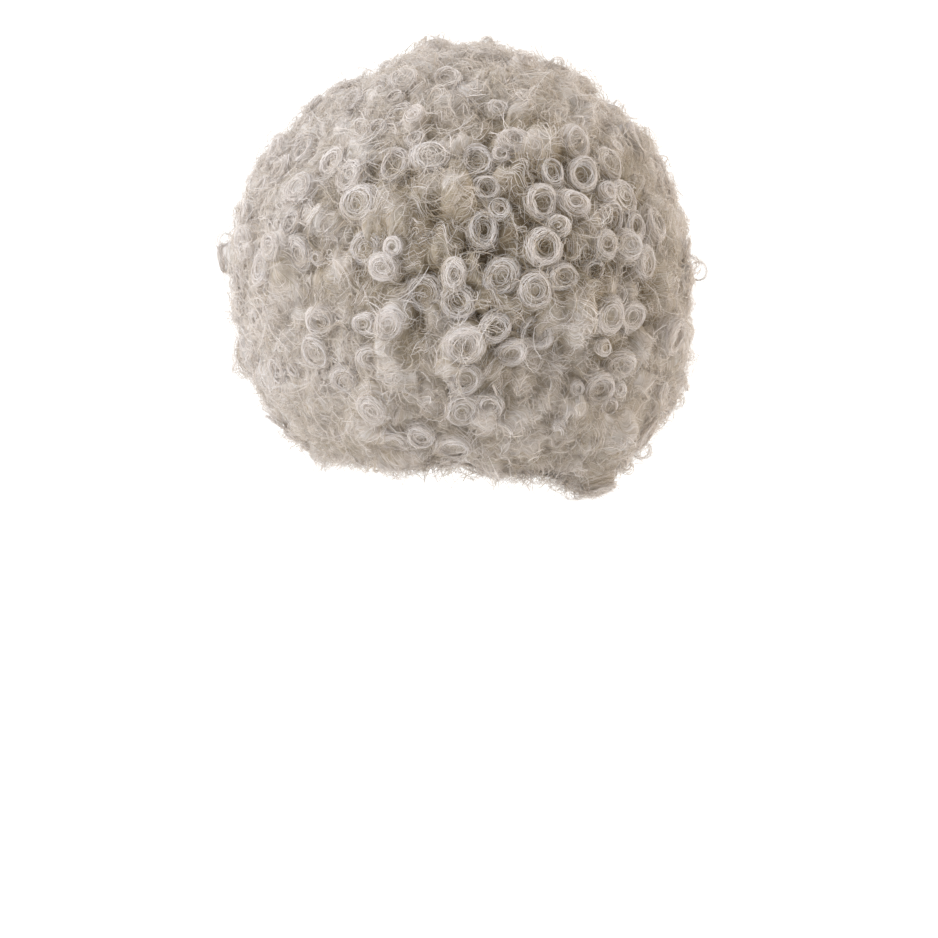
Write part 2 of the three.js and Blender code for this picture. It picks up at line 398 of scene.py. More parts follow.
# Hair gathers in soft lumps, a few ringlets wide, that stand proud of the form or sink below it.
LUMPS = np.array(
    [(150, 13, 10.0), (60, 26, 7.0)],
    dtype=[("count", int), ("spread_mm", float), ("height_mm", float)],
)
lump_count = LUMPS["count"].sum()
lump_azimuth, lump_share = scatter(lump_count, 0.0, HEM_SHARE)
lump_point = form_point(lump_azimuth, lump_share)
lump_spread = MM * np.repeat(LUMPS["spread_mm"], LUMPS["count"])
lump_height = MM * np.repeat(LUMPS["height_mm"], LUMPS["count"])
lump_height = lump_height * rng.uniform(-1, 1, lump_count)

# Three wide ones shape the top: a hollow high on the left, a rise high on the right and another on
# the crown.
TOP_LUMPS = np.array(
    [(90, 0.17, 36, -13.0), (268, 0.16, 20, 11.0), (120, 0.06, 16, 8.0)],
    dtype=[("azimuth", float), ("share", float), ("spread_mm", float), ("height_mm", float)],
)
lump_point = np.concatenate([lump_point, form_point(TOP_LUMPS["azimuth"], TOP_LUMPS["share"])])
lump_spread = np.append(lump_spread, MM * TOP_LUMPS["spread_mm"])
lump_height = np.append(lump_height, MM * TOP_LUMPS["height_mm"])

# Down both sides, from the crown to the hem, the curls form a row of lobes with nicks between them.
LOBE = {"first_share": 0.2, "step_share": 0.032, "spread_mm": 9.5, "height_mm": 6.5}
for side_azimuth in (90, 270):
    lobe_share = np.arange(LOBE["first_share"], HEM_SHARE, LOBE["step_share"])
    rise = np.where(np.arange(len(lobe_share)) % 2, -1.0, 1.0)
    lump_point = np.concatenate([lump_point, form_point(side_azimuth, lobe_share)])
    lump_spread = np.append(lump_spread, np.full(len(lobe_share), MM * LOBE["spread_mm"]))
    lump_height = np.append(lump_height, MM * LOBE["height_mm"] * rise)


def lump_at(points):
    """How far lumps raise the hair at points on the form."""
    near = np.linalg.norm(points[..., None, :] - lump_point, axis=-1) / lump_spread
    return (np.exp(-near * near) * lump_height).sum(axis=-1)


# At the back the ringlets stand apart with deep gaps between them. Elsewhere hair fills the gaps.
OPEN_MIDDLE = {"azimuth": 198, "height_mm": -55}
OPEN_SPREAD = {"azimuth": 47, "height_mm": 90}


def openness(azimuth, points):
    """1 where ringlets stand apart, down to 0 where they are packed."""
    aside = (azimuth - OPEN_MIDDLE["azimuth"]) / OPEN_SPREAD["azimuth"]
    above = (points[..., 2] / MM - OPEN_MIDDLE["height_mm"]) / OPEN_SPREAD["height_mm"]
    return np.exp(-aside * aside - above * above)


# Curls: where each sits and how wide it is, the widest placed first so that small ones fill in.
# Under the hem they are smaller.
CURL_RADIUS_MM = (6.0, 16.0)
CURL_RADIUS_BETA = (1.7, 2.2)
CURL_TRIES = 20000
CURL_CROWDING = 0.71
CURL_LAST_SHARE = 0.985
CURL_SIZE_BY_SHARE = ([0.8, 0.87, 0.93, 1.0], [1.0, 0.88, 0.62, 0.4])
try_azimuth, try_share = scatter(CURL_TRIES, 0.0, CURL_LAST_SHARE)
low, high = CURL_RADIUS_MM
try_radius = low + (high - low) * rng.beta(*CURL_RADIUS_BETA, len(try_azimuth))
try_radius = MM * np.sort(try_radius)[::-1]
try_point = form_point(try_azimuth, try_share)
kept = []
for i in range(len(try_point)):
    apart = np.linalg.norm(try_point[kept] - try_point[i], axis=1)
    if not len(kept) or np.all(apart > CURL_CROWDING * (try_radius[kept] + try_radius[i])):
        kept.append(i)
curls = len(kept)
curl_point, curl_weft = try_point[kept], weft_of(try_share[kept])
curl_small = np.interp(try_share[kept], *CURL_SIZE_BY_SHARE)
curl_radius = try_radius[kept] * curl_small
curl_wide = curl_radius / curl_radius.mean()
curl_normal = form_normal(try_azimuth[kept], try_share[kept])[0]

# Some curls are ringlets that stand on the form and show their end as a ring. The rest lie on their
# side. Most ringlets are filled with hair, and a few have a deep hollow.
RINGLET_SHARE = (0.26, 0.52)
RINGLETS_BY_SIZE = [0.5, 1.7]
CURL_DROOP = 0.22
CURL_LEAN = 0.2
CURL_SQUASH = (0.75, 1.0)
CURL_UNEVEN_MM = {"middle": -2.2, "spread": 2.4, "lowest": -7, "highest": 2.2}
HOLLOW = {"least": 0.05, "range": 0.8, "power": 2.5}
down = np.array([0.0, 0.0, -1.0])
curl_open = openness(try_azimuth[kept], curl_point)
by_size = np.interp(curl_radius, [MM * low, MM * high], RINGLETS_BY_SIZE)
standing_share = RINGLET_SHARE[0] + (RINGLET_SHARE[1] - RINGLET_SHARE[0]) * curl_open * by_size
curl_stands = rng.uniform(0, 1, curls) < standing_share
curl_right = unit(np.cross(curl_normal, rng.normal(0, 1, (curls, 3))))
curl_up = np.cross(curl_normal, curl_right)
curl_squash = rng.uniform(*CURL_SQUASH, curls)
curl_slope = -CURL_DROOP * down - CURL_LEAN * rng.normal(0, 1, (curls, 1)) * curl_right
slope_right, slope_up = (np.sum(curl_slope * axis, axis=-1) for axis in (curl_right, curl_up))
uneven_mm = rng.normal(CURL_UNEVEN_MM["middle"], CURL_UNEVEN_MM["spread"], curls)
uneven_mm = np.clip(uneven_mm, CURL_UNEVEN_MM["lowest"], CURL_UNEVEN_MM["highest"])
curl_lift = lump_at(curl_point) * curl_small + MM * uneven_mm * curl_small
curl_hand = rng.choice([-1.0, 1.0], curls)
curl_tone = rng.uniform(0, 1, curls)
curl_hollow = HOLLOW["least"] + HOLLOW["range"] * np.mod(7 * curl_tone, 1) ** HOLLOW["power"]

# Lying curls are pushed out of shape, so that no two are alike.
WARP_WAVES = 9
WARP_MM = 2.6
WARP_LENGTH_MM = (9, 16)
ANY_PHASE = 6.3  # about one turn, in radians
warp_waves = unit(rng.normal(0, 1, (WARP_WAVES, 3))) * 2 * np.pi
warp_waves = warp_waves / (MM * rng.uniform(*WARP_LENGTH_MM, (WARP_WAVES, 1)))
warp_push = unit(rng.normal(0, 1, (WARP_WAVES, 3))) * WARP_MM * MM / 2
warp_phase = rng.uniform(0, ANY_PHASE, WARP_WAVES)


def warped(points):
    """Points pushed to and fro by a few crossing waves."""
    return points + np.sin(points @ warp_waves.T + warp_phase) @ warp_push


# Heights of a curl over the form, by distance from its middle, both as shares of its radius.
RINGLET_PROFILE = (
    (0, 0.2, 0.45, 0.66, 0.8, 1.0, 1.5),
    (-0.42, -0.36, -0.15, -0.02, -0.1, -0.42, -1.6),
)
RINGLET_CREST = 0.66
LYING_PROFILE = ((0, 0.3, 0.6, 0.9, 1.2, 1.6), (0.0, -0.05, -0.2, -0.48, -0.9, -1.6))
LYING_LONGER = 1.5
LYING_SLANT = 0.5
OUT_OF_ROUND = ((0.08, 2, 6.3), (0.05, 3, 40))  # size, waves in a turn, change of phase with tone


def curl_height(k, x, y):
    """The height of curls over the form at places across them, and the run across their fibres."""
    angle = np.arctan2(y, x)
    uneven = sum(
        size * np.sin(waves * angle + phase * curl_tone[k]) for size, waves, phase in OUT_OF_ROUND
    )
    round_run = np.hypot(x, y / curl_squash[k]) * (1 + uneven)
    ring = np.interp(round_run, *RINGLET_PROFILE)
    ring = ring * np.where(round_run < RINGLET_CREST, curl_hollow[k], 1)
    roll = np.interp(np.hypot(x / LYING_LONGER, y), *LYING_PROFILE)
    slope = (x * slope_right[k] + y * slope_up[k]) * np.exp(-round_run * round_run)
    run = np.where(curl_stands[k], round_run, x + LYING_SLANT * curl_hand[k] * y)
    relief = np.where(curl_stands[k], ring, roll) + slope
    return curl_lift[k] + curl_radius[k] * relief, curl_radius[k] * run


# Between curls the hair is matted down to a floor, deeper where the ringlets stand apart. Lumps and
# gaps fade out under the hem. Shade is painted into the tone, darker in hollows of the relief, in the
# open part and towards the hem, and painted light makes the packed parts paler.
FLOOR_MM = (-4.5, -16.5)
VALLEY_ROUND_MM = 1.5
MAT_ROUGH_MM = 0.28
THIN_BY_SHARE = ([0.8, HEM_SHARE, 0.93, 1.0], [1.0, 0.75, 0.4, 0.2])
LUMPS_BY_SHARE = ([0.78, HEM_SHARE, 0.93], [1, 0.6, 0])
PAINTED_LIGHT_AND_SHADE_MM = {"packed": 2.9, "open": -8.7}
PAINTED_HEM_SHADE_MM_BY_SHARE = ([0.66, 0.8, 0.96], [0, -3.5, -2.3])
PAINTED_SHADE_BY_RELIEF = {"packed": 0.65, "open": 0.35}
CURL_TONE_RUN = 0.3


def surface(azimuth, share):
    """The hair's surface: height over the form, depth for its painted light and shade, and run across
    its fibres.
    """
    points = form_point(azimuth, share)
    opened = openness(azimuth, points)
    thin = np.interp(share, *THIN_BY_SHARE)
    lumps = lump_at(points) * np.interp(share, *LUMPS_BY_SHARE)
    floor = lumps + MM * (FLOOR_MM[0] + (FLOOR_MM[1] - FLOOR_MM[0]) * opened) * thin
    blend = np.exp(floor / (VALLEY_ROUND_MM * MM))
    top = np.full(len(points), -1.0)
    run = np.zeros(len(points))
    pushed = warped(points)
    for k in range(curls):
        offset = (points if curl_stands[k] else pushed) - curl_point[k]
        near = np.flatnonzero(np.einsum("ij,ij->i", offset, offset) < (2 * curl_radius[k]) ** 2)
        x = offset[near] @ curl_right[k] / curl_radius[k]
        y = offset[near] @ curl_up[k] / curl_radius[k]
        height, across = curl_height(k, x, y)
        blend[near] += np.exp(height / (VALLEY_ROUND_MM * MM))
        higher = height > top[near]
        top[near[higher]] = height[higher]
        run[near[higher]] = across[higher] + CURL_TONE_RUN * curl_tone[k]
    rough = rng.normal(0, MAT_ROUGH_MM * MM, len(points)) * thin
    height = VALLEY_ROUND_MM * MM * np.log(blend) + rough
    # Painted light where the hair is packed, painted shade in the open part and towards the hem.
    light_and_shade_mm = PAINTED_LIGHT_AND_SHADE_MM["packed"] + PAINTED_LIGHT_AND_SHADE_MM["open"] * opened + np.interp(share, *PAINTED_HEM_SHADE_MM_BY_SHARE)
    relief = (height - lumps) * (PAINTED_SHADE_BY_RELIEF["packed"] + PAINTED_SHADE_BY_RELIEF["open"] * opened)
    return height, relief + MM * light_and_shade_mm, run


PAINTED_SHADE_DEPTH_MM = 15
LIGHT = {"on_form": 0.66, "per_depth": 0.75, "most_more": 0.18}


def light_at(depth):
    """The map's V, with painted shade by depth: near 1 at the tips, less towards the roots."""
    shade = LIGHT["per_depth"] * depth / (PAINTED_SHADE_DEPTH_MM * MM)
    most = LIGHT["most_more"]
    return LIGHT["on_form"] + np.where(shade > 0, most * np.tanh(shade / most), shade)


# The matted hair under the loose fibres, one grid round the whole head, which the wefts share out.
# Fibres on it are drawn coarser than the real ones, which are 0.07 mm.
MAT_SIDES = 440
MAT_STEP_SHARE = 0.005
MAT_END_SHARES = (0.0005, 0.9985)
MAT_SINK_MM = 1.8
FIBRE_PITCH_MM = 0.85
FIBRES_ON_MAP = 240
MAP_FOLD = 0.9
MAP_MARGIN = 0.01
row_ends = np.concatenate([MAT_END_SHARES[:1], weft_ends[:-1], MAT_END_SHARES[1:]])
row_counts = np.maximum(3, np.round(np.diff(row_ends) / MAT_STEP_SHARE)).astype(int)
row_shares = [
    np.linspace(start, end, count, endpoint=False)
    for start, end, count in zip(row_ends, row_ends[1:], row_counts)
]
mat_azimuth, mat_share = np.meshgrid(
    np.arange(MAT_SIDES + 1) * 360 / MAT_SIDES,
    np.append(np.concatenate(row_shares), row_ends[-1]),
    indexing="ij",
)
height, depth, run = (
    values.reshape(mat_share.shape) for values in surface(mat_azimuth.ravel(), mat_share.ravel())
)
height[-1], run[-1] = height[0], run[0]
height = height - MM * MAT_SINK_MM * np.interp(mat_share, *THIN_BY_SHARE)
mat_points = form_point(mat_azimuth, mat_share)
mat_points = mat_points + form_normal(mat_azimuth, mat_share)[0] * height[..., None]
step_round = np.roll(mat_points[:-1], -1, axis=0) - np.roll(mat_points[:-1], 1, axis=0)
step_round = np.concatenate([step_round, step_round[:1]])
mat_normals = unit(np.cross(np.gradient(mat_points, axis=1), step_round))
mat_u = np.mod(run / (MM * FIBRE_PITCH_MM * FIBRES_ON_MAP) + 0.5, 2 * MAP_FOLD)
mat_u = np.abs(mat_u - MAP_FOLD) / MAP_FOLD
mat_u = MAP_MARGIN + (1 - 2 * MAP_MARGIN) * mat_u
mat_v = np.clip(light_at(depth), MAP_MARGIN, 1 - MAP_MARGIN)
mat_uvs = np.stack([mat_u, mat_v], axis=-1)

# Loose fibres lie just over the curls, and the ends of a few spring up.
FIBRE_WIDTH_MM = 0.43
FIBRE_KINK_MM = 0.1
FIBRE_OVER_MM = (0.1, 1.2)
FIBRE_SPRING = {"mm": 5, "power": 4, "least": -0.3}
FIBRE_TONE_OF_CURL = 0.4
FIBRE_LIGHT_SPREAD = {"packed": 0.07, "open": 1.6}


def laid_on(k, x, y, light):
    """Loose fibres on curls k, from places across them and how much lighter they are than the mat."""
    height, _ = curl_height(k, x, y)
    ends = np.linspace(-1, 1, x.shape[-1]) ** 2
    spring = FIBRE_SPRING["mm"] * rng.uniform(0, 1, k.shape) ** FIBRE_SPRING["power"]
    spring = spring * rng.uniform(FIBRE_SPRING["least"], 1, k.shape)
    loose = MM * (rng.uniform(*FIBRE_OVER_MM, k.shape) + spring * ends)
    flat = x[..., None] * curl_right[k] + y[..., None] * curl_up[k]
    proud = (height + loose)[..., None] * curl_normal[k]
    paths = curl_point[k] + flat * curl_radius[k][..., None] + proud
    paths = np.where(curl_stands[k][..., None], paths, 2 * paths - warped(paths))
    paths = paths + rng.normal(0, FIBRE_KINK_MM * MM, paths.shape)
    own_tone = (1 - FIBRE_TONE_OF_CURL) * rng.uniform(0, 1, len(k))
    tone = curl_tone[k[:, 0]] * FIBRE_TONE_OF_CURL + own_tone
    spread = rng.normal(0, FIBRE_LIGHT_SPREAD["packed"], k.shape)
    spread = spread * (1 + FIBRE_LIGHT_SPREAD["open"] * curl_open[k])
    light = light_at(height - curl_lift[k]) + light + spread
    return paths, curl_normal[k[:, 0]], light, tone, curl_weft[k[:, 0]]


# Fibres round the rim and over the end of each ringlet, in part turns of a loose spiral.
RINGLET_FIBRES = 37
RINGLET_POINTS = 13
RIM_SHARE = {"filled": 0.26, "hollow": 0.35}
RIM_SIZE = {"middle": 0.73, "spread": 0.15}
# Rim fibres are painted lighter than end fibres, as a painted highlight, and all are painted lighter
# in the open part, over the floor's painted shade.
RIM_LIGHT = {"packed": 0.24, "open": 0.31}
END_LIGHT = {"packed": 0.17, "open": 0.2}
RINGLET_TURNS = (0.4, 1.2)
RINGLET_STRAY = 0.08
RINGLET_END_AREA = (0.02, 1.0)
RINGLET_SPIRAL = 0.1
RINGLET_WOBBLE = {"size": 0.05, "waves": 2.3}
fibre_counts = np.round(RINGLET_FIBRES * curl_wide[curl_stands]).astype(int)
k = np.repeat(np.flatnonzero(curl_stands), fibre_counts)[:, None]
s = np.linspace(0, 1, RINGLET_POINTS)[None, :]
on_rim = rng.uniform(0, 1, k.shape) < RIM_SHARE["filled"] + RIM_SHARE["hollow"] * curl_hollow[k]
rim_size = rng.normal(RIM_SIZE["middle"], RIM_SIZE["spread"], k.shape)
end_size = np.sqrt(rng.uniform(*RINGLET_END_AREA, k.shape))
size = np.where(on_rim, rim_size, end_size)
size = size * (1 + RINGLET_SPIRAL * rng.normal(0, 1, k.shape) * (s - 0.5))
angle = rng.uniform(0, 2 * np.pi, k.shape)
angle = angle + curl_hand[k] * 2 * np.pi * rng.uniform(*RINGLET_TURNS, k.shape) * s
wobble = np.sin(RINGLET_WOBBLE["waves"] * angle + rng.uniform(0, ANY_PHASE, k.shape))
size = size * (1 + RINGLET_WOBBLE["size"] * wobble)
x, y = (size * wave(angle) + rng.normal(0, RINGLET_STRAY, k.shape) for wave in (np.cos, np.sin))
y = y * curl_squash[k]
rim_light, end_light = (
    light["packed"] + light["open"] * curl_open[k] for light in (RIM_LIGHT, END_LIGHT)
)
ringlet_fibres = laid_on(k, x, y, np.where(on_rim, rim_light, end_light))

# Fibres across each curl that lies.
LYING_FIBRES = 16
LYING_POINTS = 9
LYING_LENGTH = (0.7, 1.7)
LYING_SPREAD = {"along": 0.35, "across": 1.2}
LYING_BEND = 0.5
# Lying fibres are painted lighter than the mat, over its painted shade, more so in the open part.
LYING_LIGHT = {"packed": 0.08, "open": 0.14}
fibre_counts = np.round(LYING_FIBRES * curl_wide[~curl_stands] ** 2).astype(int)
k = np.repeat(np.flatnonzero(~curl_stands), fibre_counts)[:, None]
s = np.linspace(-0.5, 0.5, LYING_POINTS)[None, :]
y = rng.uniform(-LYING_SPREAD["along"], LYING_SPREAD["along"], k.shape)
y = y + rng.uniform(*LYING_LENGTH, k.shape) * s
x = rng.uniform(-LYING_SPREAD["across"], LYING_SPREAD["across"], k.shape)
x = x - LYING_SLANT * curl_hand[k] * y + rng.normal(0, LYING_BEND, k.shape) * s**2
lying_fibres = laid_on(k, x, y, LYING_LIGHT["packed"] + LYING_LIGHT["open"] * curl_open[k])

# Frizz: small locks of kinked fibres in short bows that follow the curls and stand just over them.
# Locks are spaced evenly, with more along the hem and under it, where some hang down.
FRIZZ_TRIES = 30000
FRIZZ_SPACING_MM = 6.6
FRIZZ_LAST_SHARE = 0.99
HEM_LOCKS = {"count": 600, "shares": (0.82, 0.91)}
UNDERSIDE_LOCKS = {"count": 1300, "shares": (0.88, 0.998)}
HEM_HANG_MM = 11
HEM_HANG_SHARE = 0.05
LOCK_FIBRES = 4
LOCK_SPREAD_MM = 1.6
LOCK_APART = {"heading": 0.14, "swing": 0.25}
LOCK_BOWS_IN = {"middle": 0.7, "spread": 0.6}
FRIZZ_STEPS = 5
FRIZZ_LENGTH_MM = (11, 25)
FRIZZ_BOW_MM = (2.8, 8.5)
FRIZZ_BOW_UNEVEN = (0.8, 1.25)
FRIZZ_SLIP = 0.2
FRIZZ_OVER_MM = {"lowest": -1.8, "more": 1.8}
FRIZZ_KINK_MM = 0.28
FRIZZ_WIDTH_MM = 0.4
FRIZZ_HANGS = 0.5
FRIZZ_STRAYS = 0.6
LOOSE_SHARE = 0.3
LOOSE_LONGER = 2.6
LOOSE_LENGTH_POWER = 0.7
# Frizz is painted lighter than the mat under it, and more where it stands out, as painted light over
# the painted shade.
FRIZZ_LIGHT = {"middle": 0.07, "spread": 0.06}
FRIZZ_LIGHT_OPEN = {"middle": 0.2, "spread": 0.22}
STANDS_OUT_BY_SHARE = ([0.62, 0.78], [0, 0.45])
even_azimuth, even_share = scatter(FRIZZ_TRIES, 0.0, FRIZZ_LAST_SHARE)
cells = np.floor(form_point(even_azimuth, even_share) / (FRIZZ_SPACING_MM * MM))
_, even = np.unique(cells, axis=0, return_index=True)
frizz_azimuth, frizz_share = (
    np.concatenate(column)
    for column in zip(
        (even_azimuth[even], even_share[even]),
        scatter(HEM_LOCKS["count"], *HEM_LOCKS["shares"]),
        scatter(UNDERSIDE_LOCKS["count"], *UNDERSIDE_LOCKS["shares"]),
    )
)
lock_height, lock_depth, _ = surface(frizz_azimuth, frizz_share)
locks = len(frizz_azimuth)
lock_normal = form_normal(frizz_azimuth, frizz_share)[0]
lock_loose = rng.uniform(0, 1, locks) < LOOSE_SHARE
over = MM * (FRIZZ_OVER_MM["lowest"] + rng.exponential(FRIZZ_OVER_MM["more"], locks))
lock_centre = form_point(frizz_azimuth, frizz_share) + lock_normal * (lock_height + over)[:, None]
lock_hangs = np.exp(-(((frizz_share - HEM_SHARE) / HEM_HANG_SHARE) ** 2))
lock_hangs = lock_hangs * rng.uniform(0, 1, locks) ** 2
lock_open = openness(frizz_azimuth, lock_centre)[:, None]
lock_flow = unit(warped(lock_centre / 2) - lock_centre / 2)
lock_flow = lock_flow + rng.normal(0, FRIZZ_STRAYS, (locks, 3))
lock_heading = unit(np.cross(lock_normal, lock_flow))
lock_heading = unit(lock_heading + FRIZZ_HANGS * (1 - lock_open) * down)
lock_swing = np.cross(lock_normal, lock_heading) * rng.choice([-1, 1], (locks, 1))
bows_in = rng.normal(LOCK_BOWS_IN["middle"], LOCK_BOWS_IN["spread"], (locks, 1))
lock_swing = lock_swing - lock_normal * bows_in


def of_lock(values):
    """Values of the locks, repeated for the fibres of each."""
    return np.repeat(values, LOCK_FIBRES, axis=0)


count = locks * LOCK_FIBRES
heading = unit(of_lock(lock_heading) + rng.normal(0, LOCK_APART["heading"], (count, 3)))
swing = unit(of_lock(lock_swing) + rng.normal(0, LOCK_APART["swing"], (count, 3)))
lock_size = 1 + (LOOSE_LONGER - 1) * lock_loose[:, None]
bow = of_lock(MM * lock_size * rng.uniform(*FRIZZ_BOW_MM, (locks, 1)))
bow = bow * rng.uniform(*FRIZZ_BOW_UNEVEN, (count, 1))
length = MM * lock_size**LOOSE_LENGTH_POWER * rng.uniform(*FRIZZ_LENGTH_MM, (locks, 1))
sweep = of_lock(length) / bow
t = np.linspace(-0.5, 0.5, FRIZZ_STEPS + 1)[None, :]
t = t + rng.uniform(-FRIZZ_SLIP, FRIZZ_SLIP, (count, 1))
frizz_paths = (
    (of_lock(lock_centre) + rng.normal(0, LOCK_SPREAD_MM * MM, (count, 3)))[:, None, :]
    + (bow * np.sin(sweep * t))[..., None] * heading[:, None, :]
    + (bow * (1 - np.cos(sweep * t)))[..., None] * swing[:, None, :]
    + rng.normal(0, FRIZZ_KINK_MM * MM, (count, FRIZZ_STEPS + 1, 3))
    + HEM_HANG_MM * MM * of_lock(lock_hangs)[:, None, None] * (t[..., None] + 0.5) * down
)
lock_stands_out = np.maximum(lock_open[:, 0], np.interp(frizz_share, *STANDS_OUT_BY_SHARE))
frizz_light = of_lock(light_at(lock_depth))
frizz_light = frizz_light + rng.normal(FRIZZ_LIGHT["middle"], FRIZZ_LIGHT["spread"], count)
lighter = rng.normal(FRIZZ_LIGHT_OPEN["middle"], FRIZZ_LIGHT_OPEN["spread"], count)
frizz_light = frizz_light + of_lock(lock_stands_out) * lighter
frizz = (
    frizz_paths,
    of_lock(lock_normal),
    np.broadcast_to(frizz_light[:, None], (count, FRIZZ_STEPS + 1)),
    rng.uniform(0, 1, count),
    of_lock(weft_of(frizz_share)),
)

# Flyaway locks that spring out of the curls in open loops, and stray curls, each of a few locks,
# that stand out from the sides, the hem and the top.
FLYAWAYS = 110
FLYAWAY_LAST_SHARE = 0.9
FLYAWAY_FIBRES = 4
FLYAWAY_POINTS = 12
FLYAWAY_OVER_MM = (-1, 2.5)
FLYAWAY_LOOP_MM = (3.0, 7.0)
FLYAWAY_START = (2.6, 4.2)
FLYAWAY_TURN = (3.2, 6.5)
FLYAWAY_START_APART = 0.2
FLYAWAY_TURN_UNEVEN = (0.75, 1.0)
FLYAWAY_LOOP_UNEVEN = (0.85, 1.15)
FLYAWAY_LOOP_CLOSES = {"start": 1.15, "loss": 0.35}
FLYAWAY_DRIFT_MM = 2
FLYAWAY_SPREAD_MM = 0.6
FLYAWAY_LIGHT = (0.55, 0.95)
STRAY_LOCKS = 6
STRAY_OUT = 0.55
STRAY_TILT = 0.25
STRAY_UNEVEN = (0.8, 1.15)
STRAY_CURLS = np.array(
    [
        (268, 0.52, 7.0),
        (271, 0.51, 5.5),
        (264, 0.67, 4.5),
        (256, 0.74, 6.0),
        (252, 0.77, 4.0),
        (238, 0.855, 7.0),
        (241, 0.845, 5.0),
        (218, 0.06, 4.0),
        (240, 0.12, 5.0),
        (255, 0.15, 4.0),
        (100, 0.12, 4.5),
        (92, 0.5, 5.0),
    ],
    dtype=[("azimuth", float), ("share", float), ("loop_mm", float)],
)
fly_azimuth, fly_share = scatter(FLYAWAYS, 0.0, FLYAWAY_LAST_SHARE)
fly_azimuth = np.append(fly_azimuth, np.repeat(STRAY_CURLS["azimuth"], STRAY_LOCKS))
fly_share = np.append(fly_share, np.repeat(STRAY_CURLS["share"], STRAY_LOCKS))
flies, strays = len(fly_azimuth), len(STRAY_CURLS) * STRAY_LOCKS
fly_normal = form_normal(fly_azimuth, fly_share)[0]
fly_height = surface(fly_azimuth, fly_share)[0] + MM * rng.uniform(*FLYAWAY_OVER_MM, flies)
fly_centre = form_point(fly_azimuth, fly_share) + fly_normal * fly_height[:, None]
fly_side = rng.normal(0, 1, (flies, 3))
fly_side[-strays:] = (0, 1, 0) + STRAY_TILT * fly_side[-strays:]
fly_side = unit(np.cross(fly_normal, fly_side))
fly_loop = MM * rng.uniform(*FLYAWAY_LOOP_MM, (flies, 1))
stray_loop = MM * np.repeat(STRAY_CURLS["loop_mm"], STRAY_LOCKS)
fly_loop[-strays:, 0] = stray_loop * rng.uniform(*STRAY_UNEVEN, strays)
fly_centre[-strays:] += fly_normal[-strays:] * STRAY_OUT * fly_loop[-strays:]
fly_start = rng.uniform(*FLYAWAY_START, (flies, 1))
fly_turn = rng.uniform(*FLYAWAY_TURN, (flies, 1)) * rng.choice([-1, 1], (flies, 1))
centre, normal, side, loop, start, turn = (
    np.repeat(values, FLYAWAY_FIBRES, axis=0)
    for values in (fly_centre, fly_normal, fly_side, fly_loop, fly_start, fly_turn)
)
count = len(centre)
s = np.linspace(0, 1, FLYAWAY_POINTS)[None, :]
angle = start + rng.normal(0, FLYAWAY_START_APART, (count, 1))
angle = angle + turn * rng.uniform(*FLYAWAY_TURN_UNEVEN, (count, 1)) * s
closes = FLYAWAY_LOOP_CLOSES["start"] - FLYAWAY_LOOP_CLOSES["loss"] * s
loop = loop * rng.uniform(*FLYAWAY_LOOP_UNEVEN, (count, 1)) * closes
drift = np.cross(normal, side) * rng.normal(0, FLYAWAY_DRIFT_MM * MM, (count, 1))
fly_paths = (
    (centre + rng.normal(0, FLYAWAY_SPREAD_MM * MM, (count, 3)))[:, None, :]
    + (loop * np.cos(angle))[..., None] * normal[:, None, :]
    + (loop * np.sin(angle))[..., None] * side[:, None, :]
    + s[..., None] * drift[:, None, :]
)
flyaways = (
    fly_paths,
    normal,
    rng.uniform(*FLYAWAY_LIGHT, (count, 1)) + 0 * s,
    rng.uniform(0, 1, count),
    np.repeat(weft_of(fly_share), FLYAWAY_FIBRES),
)

# Single fine fibres that stand off the surface in wide bows and soften its outline.
HALO_FIBRES = 7000
HALO_LAST_SHARE = 0.93
HALO_POINTS = 5
HALO_OVER_MM = (-0.8, 1.2)
HALO_RISE = (0.3, 1.3)
HALO_FALL = 0.6
HALO_LENGTH_MM = (8, 19)
HALO_BOW_MM = (2.6, 7.0)
HALO_WIDTH_MM = 0.22
HALO_LIGHT = (0.56, 0.8)
halo_azimuth, halo_share = scatter(HALO_FIBRES, 0.0, HALO_LAST_SHARE)
count = len(halo_azimuth)
halo_normal = form_normal(halo_azimuth, halo_share)[0]
halo_height = surface(halo_azimuth, halo_share)[0] + MM * rng.uniform(*HALO_OVER_MM, count)
halo_base = form_point(halo_azimuth, halo_share) + halo_normal * halo_height[:, None]
heading = unit(np.cross(halo_normal, rng.normal(0, 1, (count, 3))))
heading = heading + halo_normal * rng.uniform(*HALO_RISE, (count, 1))
swing = unit(np.cross(heading, rng.normal(0, 1, (count, 3)))) - HALO_FALL * halo_normal
bow = MM * rng.uniform(*HALO_BOW_MM, (count, 1))
t = np.linspace(0, 1, HALO_POINTS)[None, :] * MM * rng.uniform(*HALO_LENGTH_MM, (count, 1)) / bow
halo_paths = (
    halo_base[:, None, :]
    + (bow * np.sin(t))[..., None] * unit(heading)[:, None, :]
    + (bow * (1 - np.cos(t)))[..., None] * unit(swing)[:, None, :]
)
halo = (
    halo_paths,
    halo_normal,
    rng.uniform(*HALO_LIGHT, (count, 1)) + 0 * t,
    rng.uniform(0, 1, count),
    weft_of(halo_share),
)

